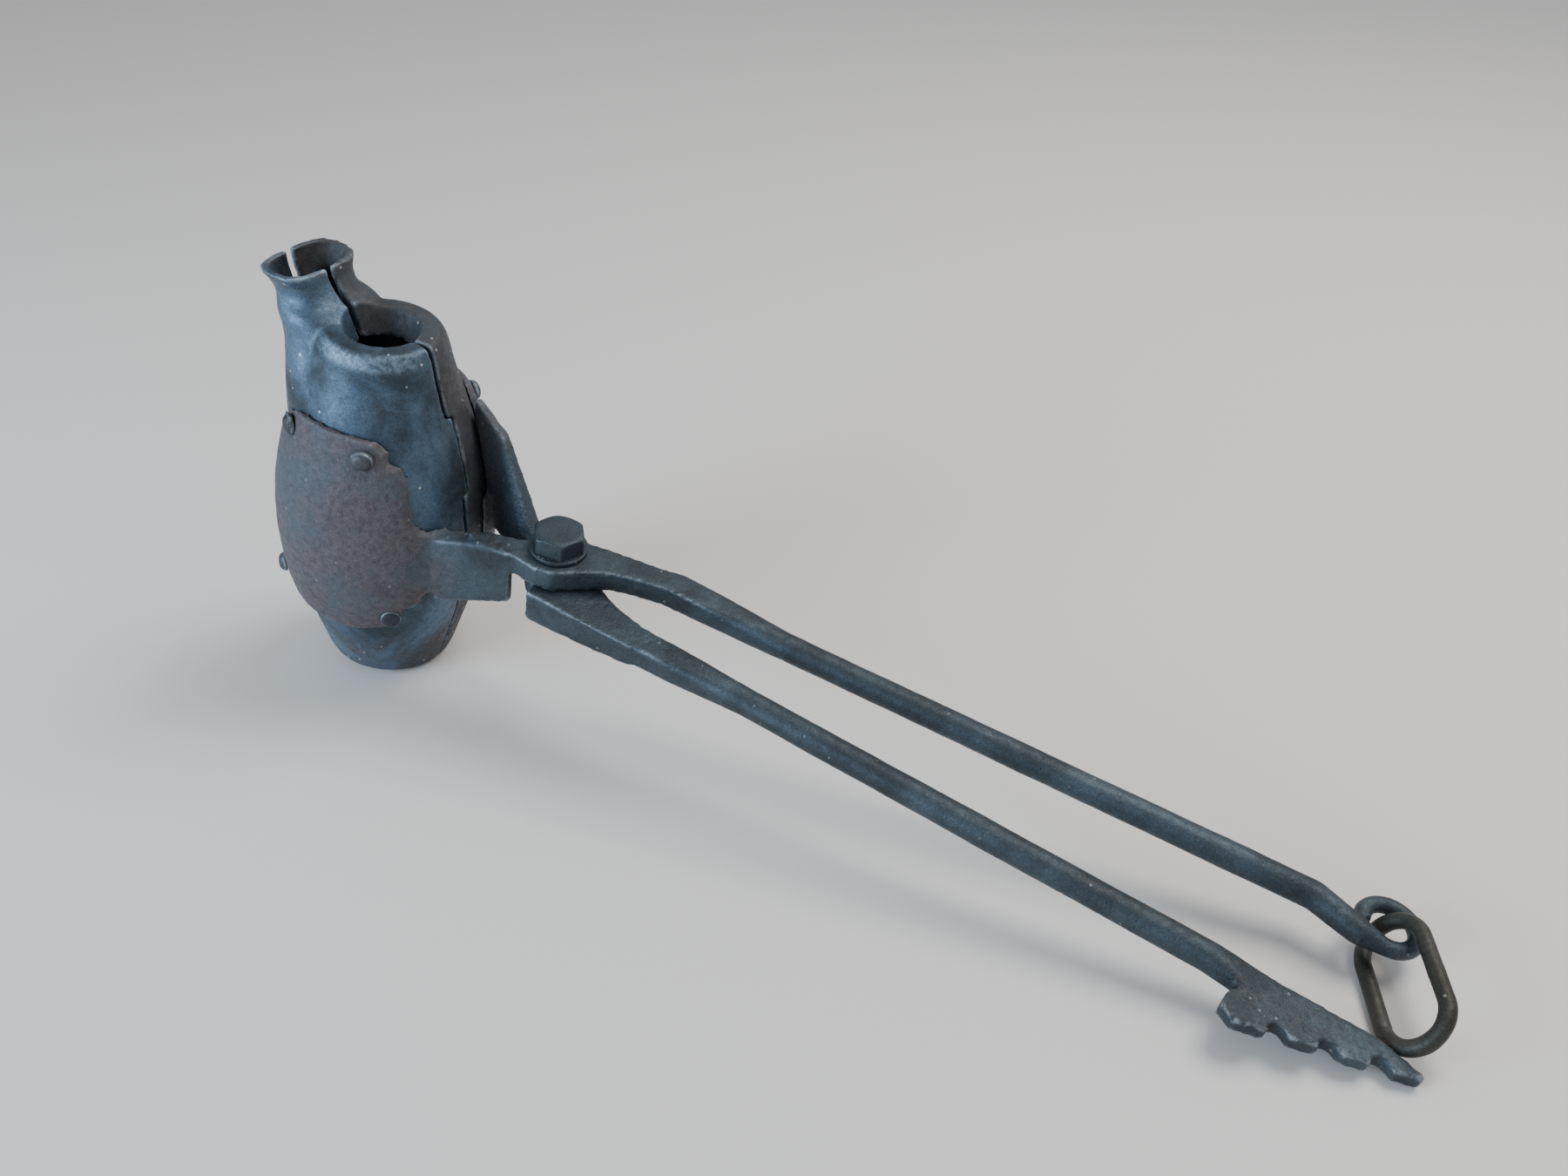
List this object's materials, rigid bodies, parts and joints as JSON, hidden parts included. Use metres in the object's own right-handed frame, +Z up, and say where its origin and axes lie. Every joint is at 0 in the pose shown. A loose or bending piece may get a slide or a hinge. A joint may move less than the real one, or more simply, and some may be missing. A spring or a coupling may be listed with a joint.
{
  "type": "split shell tongs",
  "caption": "Long-handled forged tongs whose jaws carry the two half shells of a hollow necked body, with a notched handle end and a locking link.",
  "frame": {"origin": "on the table under the middle of the standing tool's bounding box", "axes": "+X along the handles away from the shells, +Y across the parting plane towards the back shell, +Z up from the table"},
  "size_m": [0.6164, 0.1156, 0.238],
  "materials": {
    "shell_iron": "dark blue-grey forged patina, semi-matte, worn bright edges",
    "forged_arm": "hammered dark iron, red-brown rust on the plates, worn edges",
    "bolt_steel": "aged dark steel",
    "washer_steel": "aged dark steel",
    "link_iron": "dark brown forged wire",
    "rivet_iron": "hammered domed heads, worn tops"
  },
  "bodies": {
    "front_half": {"front_jaw_arm": "forged_arm", "front_shell": "shell_iron", "front_rivet_1": "rivet_iron", "front_rivet_2": "rivet_iron", "front_rivet_3": "rivet_iron", "front_rivet_4": "rivet_iron", "pivot_bolt": "bolt_steel", "bolt_washer": "washer_steel", "nut_washer": "washer_steel", "pivot_nut": "bolt_steel"},
    "back_half": {"back_jaw_arm": "forged_arm", "back_shell": "shell_iron", "back_rivet_1": "rivet_iron", "back_rivet_2": "rivet_iron", "back_rivet_3": "rivet_iron", "back_rivet_4": "rivet_iron"},
    "link": {"locking_link": "link_iron"}
  },
  "joints": [
    {"name": "jaw_pivot", "type": "hinge", "parent": "front_half", "child": "back_half", "pos_m": [-0.14023, 0, 0.09354], "axis": [-0.1884, 0, -0.9821], "range_deg": [0, 28]},
    {"name": "link_swing", "type": "hinge", "parent": "front_half", "child": "link", "pos_m": [0.2789, 0.031, 0.01721], "axis": [0.1884, 0, 0.9821], "range_deg": [0, 100]}
  ]
}
